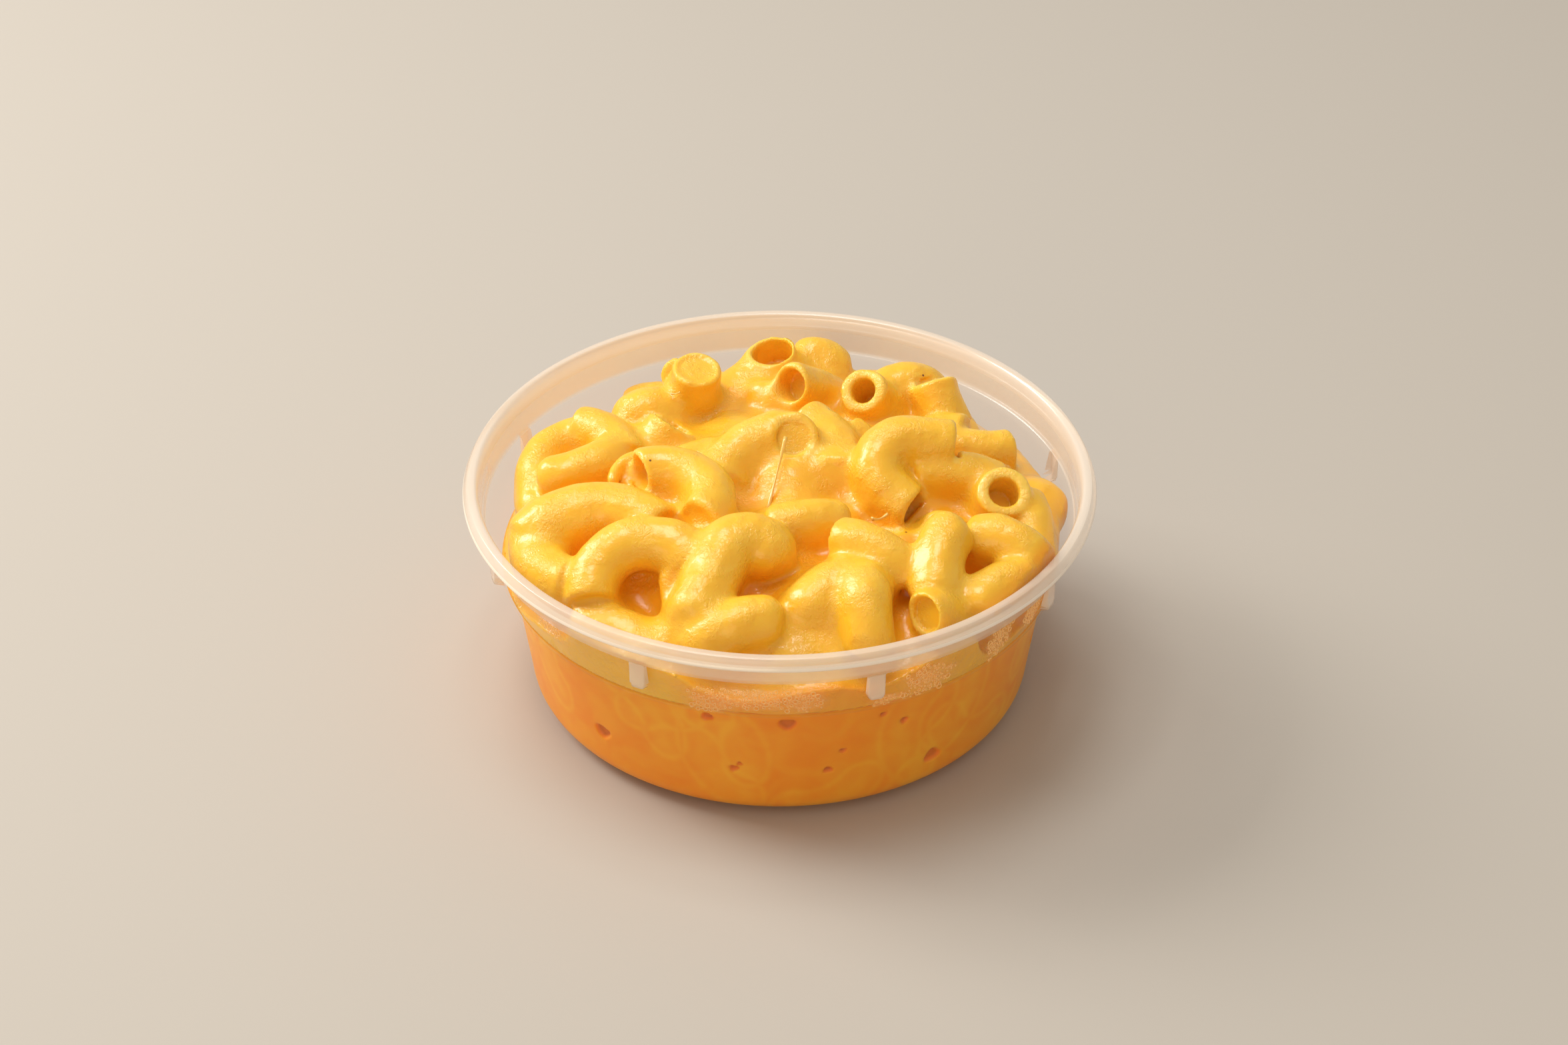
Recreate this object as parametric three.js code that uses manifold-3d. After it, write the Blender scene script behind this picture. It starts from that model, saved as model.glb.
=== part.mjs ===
// Macaroni and cheese in a round translucent deli container.
// Millimetres, +Z up, the container's base on z = 0, its axis on Z, its front towards -Y.

import * as THREE from 'three';
import { mergeVertices } from 'three/addons/utils/BufferGeometryUtils.js';
import Module from 'manifold-3d';

const wasm = await Module();
wasm.setup();

// ---- driving dimensions ----------------------------------------------------

const ROUND_SEGMENTS = 48;

// container, from the base up
const WALL = 0.8;
const FLOOR_Z = 0.8;            // underside of the recessed floor
const FOOT_INNER_RADIUS = 39.5;
const FOOT_OUTER_RADIUS = 42.3;
const BASE_CORNER_RADIUS = 5.3; // outer rounding between foot and wall
const BODY_TOP = { radius: 50.6, z: 26.3 };
const SHOULDER = { radius: 52.3, z: 27.1 };
const BAND_TOP = { radius: 54.3, z: 36.2 };
const NECK_FOOT = { radius: 55.4, z: 36.9 };
const NECK_TOP = { radius: 55.8, z: 41.3 };
const RIM_RADIUS = 58.5;
const RIM_EDGE_Z = 41.7;        // the widest, lowest edge of the rim
const RIM_LIP_RADIUS = 55.6;    // inner edge of the rim
const RIM_LIP_DROP = 0.5;       // of that edge below the top of the rim
const HEIGHT = 44;

// stacking lugs under the neck
const LUG_COUNT = 8;
const LUG_FIRST_ANGLE = 18;     // degrees from the front towards +X
const LUG_WIDTH = 3.6;
const LUG_TOP_Z = 37.1;         // sunk into the neck's foot
const LUG_BOTTOM_Z = 30.5;
const LUG_OUTER_RADIUS = 55;
const LUG_CORNER = 1.2;

// food
const GAP = 0.3;                // between the food and the container's wall
const ELBOW_SIDES = 9;
const DEGREES_PER_STEP = 28;
const BORE_SHARE = 0.58;        // bore diameter over outside diameter
const BORE_SIDES = 8;
const BORE_DEPTH = 7;
const BORE_DEPTH_SHARE = 0.6;   // the most of a short elbow's length that its bore takes
const BORE_CLEARANCE = 1;       // how far the tool that cuts a bore stands out of the elbow
const ARC_POINTS = 5;           // along the container's base corner
const SAUCE_TOP = [             // radius, height of the sauce between the elbows, wall to middle
  [50.3, 28.2], [47.8, 31.0], [44.0, 34.4], [38.5, 37.4], [29, 39.8], [16, 41.4],
];
const SAUCE_MIDDLE_Z = 42;

// Each elbow is a bent tube: the middle of its bend, the heading and pitch of its
// centreline there, the roll of the side it bends to (0 left, 90 up, -90 down), the
// length of the bend along the centreline and its radius, the outside diameter, any
// straight legs at the start and the end, and which ends are open.
const ELBOWS = [
  // back row, left to right
  { at: [-19.5, 31.5, 43.5], heading: 150, pitch: -65, roll: -80, length: 8, bend: 4, size: 7.5 },
  { at: [-16.5, 29, 44], heading: 100, pitch: -50, roll: 25, length: 14, bend: 60, size: 9, open: 'start' },
  { at: [-2, 38, 42], heading: 200, pitch: -75, roll: 95, length: 10, bend: 7, size: 9, open: 'start' },
  { at: [10, 43.5, 39.5], heading: 10, pitch: -35, roll: -50, length: 10, bend: 7, size: 8 },
  { at: [-4.5, 26, 43.5], heading: 10, pitch: 0, roll: -165, length: 22, bend: 14, size: 9 },
  { at: [7, 26.5, 46], heading: 15, pitch: -25, roll: -120, length: 14, bend: 17, size: 9, open: 'start' },
  { at: [17.5, 27.5, 43.5], heading: 70, pitch: -45, roll: -130, length: 17, bend: 38, size: 9, open: 'start' },
  { at: [25, 30.5, 43.5], heading: 15, pitch: -15, roll: -100, length: 12, bend: 7, size: 8.5 },
  { at: [30.5, 25.5, 44.5], heading: 15, pitch: -35, roll: -120, length: 10, bend: 4, size: 8, open: 'start' },
  // low along the back
  { at: [-22, 40, 33.5], heading: 150, pitch: -10, roll: -60, length: 15, bend: 12, size: 8.5, open: 'end' },
  { at: [-12, 42, 34.5], heading: 175, pitch: 5, roll: -90, length: 16, bend: 12, size: 8.5, open: 'start' },
  { at: [1, 46.5, 33], heading: 5, pitch: 0, roll: -10, length: 15, bend: 20, size: 8.5, open: 'start' },
  { at: [22, 40, 35], heading: 340, pitch: -10, roll: -100, length: 15, bend: 12, size: 8.5, open: 'end' },
  { at: [32, 34, 33.5], heading: 305, pitch: 0, roll: -150, length: 16, bend: 13, size: 8.5 },
  // left side
  { at: [-47.5, 3.5, 36], heading: 280, pitch: -10, roll: -20, length: 19, bend: 26, size: 8 },
  { at: [-42.5, 13, 40.5], heading: 70, pitch: 5, roll: -155, length: 16, bend: 10, size: 8 },
  { at: [-32, 12.5, 42.5], heading: 335, pitch: -5, roll: -170, length: 9, bend: 5, size: 8, open: 'start' },
  { at: [-26, 24, 41.5], heading: 245, pitch: -15, roll: -35, length: 11, bend: 4.5, size: 8.5 },
  { at: [-21, 10, 44.5], heading: 345, pitch: -25, roll: -65, length: 10, bend: 12, size: 8.5, open: 'start' },
  { at: [-36, -0.5, 44.5], heading: 25, pitch: 15, roll: -70, length: 19, bend: 7, size: 8.5 },
  { at: [-33.5, -13.5, 45], heading: 175, pitch: -10, roll: -30, length: 27, bend: 16, size: 9 },
  { at: [-43, -23.5, 39.5], heading: 295, pitch: 0, roll: 20, length: 19, bend: 15, size: 8 },
  { at: [-27, -26.5, 46], heading: 15, pitch: 15, roll: -145, length: 26, bend: 10, size: 9.5, open: 'end' },
  { at: [-28, -39, 35.5], heading: 330, pitch: -5, roll: -95, length: 16, bend: 21, size: 9 },
  // middle
  { at: [-13, 3.5, 44.5], heading: 20, pitch: 0, roll: 180, length: 12, bend: 28, size: 8 },
  { at: [-14.5, -9, 48], heading: 310, pitch: -5, roll: -175, length: 24, bend: 9, size: 9, open: 'start' },
  { at: [10, 6.5, 45.5], heading: 290, pitch: -5, roll: -170, length: 18, bend: 17, size: 9 },
  { at: [-5, 4, 47.5], heading: 15, pitch: 20, roll: 170, length: 20, bend: 7, size: 10, open: 'end' },
  { at: [3.5, -5.5, 44.5], heading: 300, pitch: -45, roll: -45, length: 10, bend: 14, size: 9 },
  { at: [5, -18.5, 44.5], heading: 10, pitch: -5, roll: -105, length: 13, bend: 13, size: 8.5 },
  { at: [16.5, 9, 43.5], heading: 320, pitch: -30, roll: -135, length: 6, bend: 9, size: 7, open: 'start' },
  // right side
  { at: [19.5, 2, 50.5], heading: 240, pitch: -5, roll: -25, length: 31, bend: 11, size: 9.5, open: 'both' },
  { at: [39, 8.5, 42.5], heading: 35, pitch: -20, roll: -15, length: 8, bend: 14, size: 8.5, open: 'end' },
  { at: [32.5, -1, 45.5], heading: 0, pitch: -10, roll: -105, length: 14, bend: 22, size: 9, open: 'start' },
  { at: [40, -7.5, 42], heading: 120, pitch: -60, roll: 5, length: 10, bend: 31, size: 9.5, open: 'start' },
  { at: [46, -12.5, 39.5], heading: 270, pitch: -20, roll: -160, length: 14, bend: 15, size: 8 },
  { at: [40.5, -24, 44.5], heading: 5, pitch: -35, roll: -85, length: 15, bend: 9, size: 8.5 },
  { at: [28.5, -33, 48], heading: 70, pitch: 15, roll: -105, length: 18, bend: 12, size: 9 },
  { at: [39.5, -31.5, 39.5], heading: 50, pitch: -10, roll: -70, length: 15, bend: 9, size: 8.5 },
  { at: [28, -38.5, 38.5], heading: 350, pitch: -15, roll: -135, length: 7, bend: 5, size: 8.5, open: 'start' },
  // half sunk between the others
  { at: [-8, 15.5, 41.5], heading: 330, pitch: 0, roll: 10, length: 16, bend: 11, size: 8.5 },
  { at: [27, 14, 42], heading: 15, pitch: 5, roll: 175, length: 16, bend: 12, size: 8.5 },
  { at: [-25, -4, 40.5], heading: 80, pitch: 0, roll: -170, length: 15, bend: 10, size: 8.5 },
  { at: [-8, -19, 41.5], heading: 200, pitch: 5, roll: 10, length: 16, bend: 12, size: 8.5 },
  { at: [28, -18, 41.5], heading: 130, pitch: 0, roll: 160, length: 16, bend: 10, size: 8.5 },
  // front row
  { at: [-4.5, -25.5, 47.5], heading: 10, pitch: -10, roll: -155, length: 11, bend: 5, size: 9,
    legs: [17.5, 5] },
  { at: [-19, -37, 40.5], heading: 275, pitch: -35, roll: -85, length: 11, bend: 13, size: 5 },
  { at: [-6, -43.5, 42], heading: 0, pitch: 0, roll: -125, length: 18, bend: 7, size: 9 },
  { at: [6.5, -48, 35.5], heading: 15, pitch: 0, roll: 0, length: 8, bend: 23, size: 8, open: 'end' },
  { at: [7, -40, 43], heading: 260, pitch: -25, roll: -50, length: 12, bend: 14, size: 9 },
  { at: [16, -40, 42.5], heading: 280, pitch: -25, roll: -95, length: 12, bend: 9, size: 9.5, open: 'end' },
  { at: [16, -29.5, 48], heading: 335, pitch: -20, roll: -105, length: 13, bend: 10, size: 8.5, open: 'start' },
];

// ---- materials -------------------------------------------------------------

const plastic = new THREE.MeshStandardMaterial({
  color: 0xf5e2d0, roughness: 0.3, metalness: 0, transparent: true, opacity: 0.4,
});
const cheesePasta = new THREE.MeshStandardMaterial({ color: 0xf9b233, roughness: 0.3, metalness: 0 });

// ---- helpers ---------------------------------------------------------------

/** A closed THREE geometry as a manifold solid. */
function solid(geometry) {
  const plain = geometry.index ? geometry.toNonIndexed() : geometry.clone();
  plain.deleteAttribute('normal');
  plain.deleteAttribute('uv');
  const merged = mergeVertices(plain, 1e-4);
  return new wasm.Manifold(new wasm.Mesh({
    numProp: 3,
    vertProperties: new Float32Array(merged.attributes.position.array),
    triVerts: new Uint32Array(merged.index.array),
  }));
}

/** A manifold solid as a THREE geometry. */
function geometryOf(manifold) {
  const mesh = manifold.getMesh();
  const geometry = new THREE.BufferGeometry();
  geometry.setAttribute('position', new THREE.BufferAttribute(mesh.vertProperties, 3));
  geometry.setIndex(new THREE.BufferAttribute(mesh.triVerts, 1));
  geometry.computeVertexNormals();
  return geometry;
}

/** Revolves [radius, z] points, which run from the axis and back to it anticlockwise, about Z. */
function revolve(profile) {
  const points = profile.map(([radius, z]) => new THREE.Vector2(radius, z));
  return solid(new THREE.LatheGeometry(points, ROUND_SEGMENTS).rotateX(Math.PI / 2));
}

/** Points of an arc in the profile plane, as [radius, z]; the angles are in degrees from outward. */
function arcPoints(centre, radius, from, to) {
  return Array.from({ length: ARC_POINTS }, (_, i) => {
    const angle = THREE.MathUtils.degToRad(THREE.MathUtils.lerp(from, to, i / (ARC_POINTS - 1)));
    return [centre[0] + radius * Math.cos(angle), centre[1] + radius * Math.sin(angle)];
  });
}

// ---- container -------------------------------------------------------------

const cornerCentre = [FOOT_OUTER_RADIUS, BASE_CORNER_RADIUS];
const taper = THREE.MathUtils.radToDeg(
  Math.atan2(BODY_TOP.radius - FOOT_OUTER_RADIUS - BASE_CORNER_RADIUS, BODY_TOP.z));

/** The inside of the wall less a clearance, from the middle of the floor up to the rim. */
function innerProfile(clearance) {
  const inset = WALL + clearance;
  return [
    [0, FLOOR_Z + inset],
    [FOOT_INNER_RADIUS - 2 * WALL, FLOOR_Z + inset],
    ...arcPoints(cornerCentre, BASE_CORNER_RADIUS - inset, -90, -taper),
    [BODY_TOP.radius - inset, BODY_TOP.z],
    [SHOULDER.radius - inset, SHOULDER.z],
    [BAND_TOP.radius - inset, BAND_TOP.z],
    [NECK_FOOT.radius - inset, NECK_FOOT.z],
    [NECK_TOP.radius - inset, NECK_TOP.z],
  ];
}

/** The outside, from the middle of the recessed floor's underside up to the rim. */
function outerProfile() {
  return [
    [0, FLOOR_Z],
    [FOOT_INNER_RADIUS - WALL, FLOOR_Z],
    [FOOT_INNER_RADIUS, 0],
    ...arcPoints(cornerCentre, BASE_CORNER_RADIUS, -90, -taper),
    [BODY_TOP.radius, BODY_TOP.z],
    [SHOULDER.radius, SHOULDER.z],
    [BAND_TOP.radius, BAND_TOP.z],
    [NECK_FOOT.radius, NECK_FOOT.z],
    [NECK_TOP.radius, NECK_TOP.z],
  ];
}

/** The rolled rim, from its underside round its edge and over its crown to the lip. */
function rimProfile() {
  return [
    [RIM_RADIUS - 0.4, RIM_EDGE_Z - 0.3],
    [RIM_RADIUS, RIM_EDGE_Z],
    [RIM_RADIUS - 0.1, RIM_EDGE_Z + 0.5],
    [RIM_RADIUS - 0.7, HEIGHT - 0.6],
    [(RIM_RADIUS + RIM_LIP_RADIUS) / 2, HEIGHT],
    [RIM_LIP_RADIUS + 0.6, HEIGHT - 0.1],
    [RIM_LIP_RADIUS, HEIGHT - RIM_LIP_DROP],
  ];
}

/** One lug, a small tongue with rounded lower corners that hangs from the neck. */
function lug(angle) {
  const half = LUG_WIDTH / 2;
  const shape = new THREE.Shape();
  shape.moveTo(half, LUG_TOP_Z);
  shape.lineTo(-half, LUG_TOP_Z);
  shape.lineTo(-half, LUG_BOTTOM_Z + LUG_CORNER);
  shape.quadraticCurveTo(-half, LUG_BOTTOM_Z, -half + LUG_CORNER, LUG_BOTTOM_Z);
  shape.lineTo(half - LUG_CORNER, LUG_BOTTOM_Z);
  shape.quadraticCurveTo(half, LUG_BOTTOM_Z, half, LUG_BOTTOM_Z + LUG_CORNER);
  const depth = LUG_OUTER_RADIUS - SHOULDER.radius;
  const geometry = new THREE.ExtrudeGeometry(shape, { depth, bevelEnabled: false, curveSegments: 2 });
  geometry.rotateX(Math.PI / 2);
  geometry.translate(0, -SHOULDER.radius, 0);
  geometry.rotateZ(THREE.MathUtils.degToRad(angle));
  return solid(geometry);
}

/** The room inside the container with the given clearance to its wall, open past the rim. */
function room(clearance) {
  const profile = innerProfile(clearance);
  const [mouthRadius] = profile.at(-1);
  return revolve([...profile, [mouthRadius, 2 * HEIGHT], [0, 2 * HEIGHT]]);
}

/** The container, with its lugs evenly spaced round it. */
function container() {
  let body = revolve([...outerProfile(), ...rimProfile(), [0, HEIGHT - RIM_LIP_DROP]]);
  for (let i = 0; i < LUG_COUNT; i += 1) {
    body = body.add(lug(LUG_FIRST_ANGLE + i * 360 / LUG_COUNT));
  }
  return body.subtract(room(0));
}

// ---- food ------------------------------------------------------------------

/** The centreline of an elbow, an arc of a circle that goes on straight past its ends. */
class Bend extends THREE.Curve {
  constructor({ at, heading, pitch, roll, length, bend }) {
    super();
    const [h, p, r] = [heading, pitch, roll].map(THREE.MathUtils.degToRad);
    const forward = new THREE.Vector3(Math.cos(p) * Math.cos(h), Math.cos(p) * Math.sin(h), Math.sin(p));
    const side = new THREE.Vector3(-Math.sin(h), Math.cos(h), 0);
    const up = new THREE.Vector3().crossVectors(forward, side);
    this.middle = new THREE.Vector3(...at);
    this.forward = forward;
    this.inward = side.multiplyScalar(Math.cos(r)).addScaledVector(up, Math.sin(r));
    this.half = length / 2;
    this.radius = bend;
  }

  /** The point at a distance along the centreline from the middle of the bend. */
  pointAlong(distance) {
    const onArc = THREE.MathUtils.clamp(distance, -this.half, this.half);
    const angle = onArc / this.radius;
    const straight = distance - onArc;
    const across = this.radius * (1 - Math.cos(angle)) + straight * Math.sin(angle);
    const along = this.radius * Math.sin(angle) + straight * Math.cos(angle);
    return this.middle.clone().addScaledVector(this.inward, across).addScaledVector(this.forward, along);
  }

  getPoint(t) {
    return this.pointAlong(THREE.MathUtils.lerp(this.from, this.to, t));
  }
}

/** A round rod of the given diameter along part of an elbow's centreline. */
function rod(elbow, diameter, sides, from, to) {
  const path = new Bend(elbow);
  path.from = from;
  path.to = to;
  const section = new THREE.Shape();
  for (let i = 0; i < sides; i += 1) {
    const angle = (i / sides) * 2 * Math.PI;
    const point = [diameter / 2 * Math.cos(angle), diameter / 2 * Math.sin(angle)];
    if (i === 0) section.moveTo(...point);
    else section.lineTo(...point);
  }
  const turn = THREE.MathUtils.radToDeg((to - from) / elbow.bend);
  const steps = Math.ceil(turn / DEGREES_PER_STEP);
  return solid(new THREE.ExtrudeGeometry(section, { steps, extrudePath: path, curveSegments: 1 }));
}

/** One elbow, with a bore at each open end. */
function elbowSolid(elbow) {
  const [startLeg, endLeg] = elbow.legs ?? [0, 0];
  const start = -elbow.length / 2 - startLeg;
  const end = elbow.length / 2 + endLeg;
  let body = rod(elbow, elbow.size, ELBOW_SIDES, start, end);
  const bore = elbow.size * BORE_SHARE;
  const depth = Math.min(BORE_DEPTH, BORE_DEPTH_SHARE * (end - start));
  if (elbow.open === 'start' || elbow.open === 'both') {
    body = body.subtract(rod(elbow, bore, BORE_SIDES, start - BORE_CLEARANCE, start + depth));
  }
  if (elbow.open === 'end' || elbow.open === 'both') {
    body = body.subtract(rod(elbow, bore, BORE_SIDES, end - depth, end + BORE_CLEARANCE));
  }
  return body;
}

/** The sauce and hidden pasta that fill the container below the elbows that show. */
function sauceCore() {
  const toShoulder = innerProfile(GAP).slice(0, -3);
  return revolve([...toShoulder, ...SAUCE_TOP, [0, SAUCE_MIDDLE_Z]]);
}

/** The largest solid of a manifold: its sealed hollows are filled and its scraps dropped. */
function largestSolid(manifold) {
  const pieces = manifold.decompose();
  return pieces.reduce((best, piece) => (piece.volume() > best.volume() ? piece : best));
}

/** The whole heap, fused into one solid that stays clear of the container. */
function heap() {
  const elbows = wasm.Manifold.union(ELBOWS.map(elbowSolid));
  return largestSolid(sauceCore().add(elbows).intersect(room(GAP)));
}

// ---- scene graph -----------------------------------------------------------

const group = new THREE.Group();
for (const [name, body, material] of [
  ['deli_container', container(), plastic],
  ['macaroni_in_cheese_sauce', heap(), cheesePasta],
]) {
  const mesh = new THREE.Mesh(geometryOf(body), material);
  mesh.name = name;
  group.add(mesh);
}

export default group;
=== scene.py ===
# Macaroni and cheese in a round translucent deli container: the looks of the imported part.
# The frame is in metres. The sizes below are in millimetres and become metres where a mesh
# is made. The container's axis is Z, its base is on z = 0 and its front is towards -Y.

import math

import bpy
import numpy as np
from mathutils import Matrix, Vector, noise


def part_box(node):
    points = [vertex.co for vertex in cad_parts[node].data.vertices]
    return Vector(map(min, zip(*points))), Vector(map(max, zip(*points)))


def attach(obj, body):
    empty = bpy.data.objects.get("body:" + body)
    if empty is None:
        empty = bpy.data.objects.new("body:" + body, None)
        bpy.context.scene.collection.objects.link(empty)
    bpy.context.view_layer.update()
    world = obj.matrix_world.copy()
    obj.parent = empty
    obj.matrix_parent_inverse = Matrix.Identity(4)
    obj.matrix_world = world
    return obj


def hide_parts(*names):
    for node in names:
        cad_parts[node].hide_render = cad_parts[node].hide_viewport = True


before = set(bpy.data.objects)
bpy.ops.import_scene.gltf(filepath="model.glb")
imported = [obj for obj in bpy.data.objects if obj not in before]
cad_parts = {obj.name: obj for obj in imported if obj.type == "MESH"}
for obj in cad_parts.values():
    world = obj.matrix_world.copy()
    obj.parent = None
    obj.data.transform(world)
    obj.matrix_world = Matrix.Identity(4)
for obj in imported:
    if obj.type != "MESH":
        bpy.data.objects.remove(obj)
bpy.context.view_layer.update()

MM = 0.001
rng = np.random.default_rng(20)

# ---- dimensions, in millimetres ----

CONTAINER_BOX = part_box("deli_container")
RIM_RADIUS = CONTAINER_BOX[1][0] / MM
HEIGHT = CONTAINER_BOX[1][2] / MM
FOOD_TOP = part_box("macaroni_in_cheese_sauce")[1][2] / MM

WALL = 0.7
SPAN = 0.9               # longest step along the container's profile
FLOOR_SPAN = 4           # the same along its flat floor
INTO_WALL = 0.15         # how far the food reaches into the wall, so that no gap shows
FLOOR_Z = 0.8
AXIS = 0.01              # radius of a profile's ends at the container's axis
FOOT_INNER_RADIUS = 39.5
FOOT_OUTER_RADIUS = 42.3
BASE_CORNER_RADIUS = 5.3
BODY_TOP = (50.6, 26.3)  # radius, z of the outside where the body meets the shoulder
SHOULDER = (52.3, 27.1)
BAND_TOP = (54.3, 36.2)
NECK_FOOT = (55.4, 36.9)
NECK_TOP = (55.8, 41.3)
RIM_EDGE_Z = 41.7
RIM_LIP_RADIUS = 55.6

LUG_COUNT = 8
LUG_FIRST_ANGLE = 18     # degrees from the front towards +X
LUG_WIDTH = 3.6
LUG_BOTTOM_Z = 30.9
LUG_OUTER_RADIUS = 55
LUG_CORNER = 1.2
LUG_SLOPE = 0.35         # width of the step from the band up to a lug's face

SAUCE_LINE_Z = 27.2      # where the sauce ends at the wall
SAUCE_TOP = [(51.6, 26.6), (50.6, 28.2), (48, 31.6), (44.5, 35.4), (39, 39), (29, 41.6),
             (16, 43), (0, 43.6)]
SAUCE_TOP_FRONT = [(48, 36.6), (44.5, 37.4), (39, 38.6), (29, 41.4), (16, 43), (0, 43.6)]
# (degrees from the front, z) of the upper edge of the food at the wall, in the front half
FOOD_EDGE = [(-80, 29), (-56, 31.5), (-47, 31.5), (-43, 35), (-30, 36), (-20, 35), (-16, 32),
             (-8, 31), (0, 31.5), (5, 33), (12, 33.5), (18, 31.5), (26, 33), (31, 35.5), (41, 35),
             (44, 29), (52, 28.5), (56, 30.5), (80, 29)]


def elbow(at, heading, pitch, roll, length, bend, size, opens="", depth=5, share=0.68,
          legs=(0, 0), edge=0.9):
    """One macaroni: a bent tube with the same meaning of its numbers as in the part's source.
    Its open ends are hollow to a depth, with a bore that is a share of its thickness. The
    edge of a cut end is rounded, the more so where sauce hides it."""
    return {"at": np.array(at, float), "angles": np.radians([heading, pitch, roll]),
            "half": length / 2, "bend": bend, "radius": size / 2, "opens": opens,
            "depth": depth, "bore": share * size / 2, "legs": legs,
            "edge": min(edge, 0.45 * size)}


ELBOWS = [
    # back row, left to right
    elbow((-21.6, 30, 47), 235, -65, -25, 7, 2.6, 1.9),
    elbow((-16.6, 27, 43.8), 165, -80, 0, 13, 40, 9.7, "start", depth=0.4, share=0.66),
    elbow((-0.5, 38.5, 41.9), 40, -75, 0, 10, 90, 9.5, "start", depth=6, share=0.8),
    elbow((8.3, 44, 41.5), 350, -15, -110, 9, 5.5, 7.5, edge=2),
    elbow((6, 28, 44.5), 42, -33, -120, 13, 40, 8.2, "start", depth=4, share=0.74),
    elbow((18.2, 24.3, 42.9), 45, -58, -130, 14, 30, 9.3, "start", depth=7, share=0.5),
    elbow((25, 30.5, 43.5), 15, -15, -100, 12, 7, 8.5),
    elbow((30.7, 23.4, 43.1), 305, -50, 0, 10, 30, 8.6, "start", depth=3),
    # low along the back
    elbow((-22, 40, 33.5), 150, -10, -60, 15, 12, 8.5),
    elbow((-12, 42, 34.5), 175, 5, -90, 16, 12, 8.5),
    elbow((1, 46.5, 33), 5, 0, -10, 15, 20, 8.5),
    elbow((22, 40, 35), 340, -10, -100, 15, 12, 8.5),
    elbow((32, 34, 33.5), 305, 0, -150, 16, 13, 8.5),
    # left side
    elbow((-45.5, 2, 36.5), 275, -5, 0, 22, 27.5, 8),
    elbow((-43.8, 12.3, 40), 240, -10, -10, 20, 9.5, 8),
    elbow((-32, 12.5, 43.2), 310, 0, -155, 15, 17.5, 8.3),
    elbow((-24.3, 23.5, 42), 190, 0, -85, 11, 4, 9.5),
    elbow((-24.2, 11.6, 40.9), 30, 36, 0, 12, 30, 9, "end", depth=2, share=0.74),
    elbow((-36, 1.5, 43.7), 25, 5, -30, 17, 10.5, 8.7, edge=2.8),
    elbow((-33.5, -13.5, 45), 175, -10, -30, 27, 16, 9.5),
    elbow((-43, -23.5, 39.5), 295, 0, 20, 19, 15, 9),
    elbow((-27, -26.5, 46), 15, 15, -145, 26, 10, 9.5),
    elbow((-28, -39, 35.5), 330, -5, -95, 16, 21, 9),
    # middle
    elbow((-13, 4.5, 43.7), 20, 0, 180, 13, 28, 8, edge=2.5),
    elbow((-14.5, -9, 48), 310, -5, -175, 24, 9, 9, "start", depth=2),
    elbow((-29, -2, 47), 230, -10, -10, 11, 6.5, 2.4),
    elbow((10, 6.5, 45.5), 290, -5, -170, 18, 17, 9),
    elbow((-7.5, 2.5, 46.5), 40, 20, 180, 21, 11, 9.3, edge=3),
    elbow((2.6, 3.2, 48.9), 262, 40, 0, 4, 60, 10, "end", depth=0.4, share=0.6),
    elbow((5, -18.5, 45.5), 10, 0, -55, 14, 12, 8.6, edge=2.5),
    elbow((15, 10.5, 43.5), 320, -30, -135, 6, 9, 7, "start", depth=3),
    # right side
    elbow((18.1, -2.8, 49), 245, -31, -22, 14, 5.6, 9.2, "both", depth=3, share=0.7,
          legs=(8.5, 5)),
    elbow((37.5, 9.8, 42), 5, -5, 5, 12, 23, 7.4, "end", depth=1),
    elbow((32.5, -2, 44.6), 2, -10, -105, 15, 22, 9),
    elbow((40, -7.5, 42), 120, -60, 5, 10, 31, 10.3, "start", depth=5.5, share=0.54),
    elbow((46, -12.5, 39.5), 270, -20, -160, 14, 15, 8),
    elbow((41.5, -24.5, 45), 335, -15, -105, 16, 11, 8.6, edge=2.5),
    elbow((28, -31, 46), 75, 25, -145, 17, 21, 9.4, edge=3.2),
    elbow((38.5, -33.5, 41.8), 35, 5, -140, 15, 12.5, 8.5, edge=2.5),
    elbow((28.5, -39.5, 40.5), 50, -42, -80, 11, 9, 8.5, "start", depth=1.5, share=0.7),
    # half sunk between the others
    elbow((-8, 15.5, 37.5), 330, 0, 10, 16, 11, 8.5),
    elbow((27, 14, 42), 15, 5, 175, 16, 12, 8.5),
    elbow((-25, -4, 40.5), 80, 0, -170, 15, 10, 8.5),
    elbow((-8, -19, 41.5), 200, 5, 10, 16, 12, 8.5),
    elbow((32, -19.5, 39.5), 130, 0, 160, 16, 10, 8.5),
    # front row
    elbow((-5.8, -27, 47.3), 10, -10, -150, 10, 4.6, 10.2, legs=(17, 3), edge=3.5),
    elbow((-8, -44.5, 41.5), 15, 15, -85, 16, 13, 9, edge=3.2),
    elbow((4.7, -45.5, 34.4), 5, 0, 0, 11, 23, 8),
    elbow((8.5, -36, 42.8), 35, 10, -130, 14, 13, 8.8, edge=3),
    elbow((15.2, -42.3, 43.2), 275, -34, -85, 13, 6.5, 9.2, "end", depth=2),
    elbow((17, -28.7, 46.5), 330, -12, -80, 14, 12.5, 8.4, "start", depth=1, edge=0.5),
]

FILLET = 1.3             # reach of the sauce between macaroni that touch
SAUCE_REACH = 3          # reach of the fillets between them and the sauce below
CREASE = 1.7             # how far sauce spreads out of the creases
VOXEL = 0.55             # step of the grid that the heap's field is sampled on
FAR = 1e3                # distance to a surface that isn't there
STEEPNESS = 0.8          # of the sauce's field above its level, as the sauce slopes
FULL_COVER = 2.5         # of sauce, for its colour to hide the macaroni's
HEAP_BASE_Z = 26         # the flat underside of the heap, inside the sauce body

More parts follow.
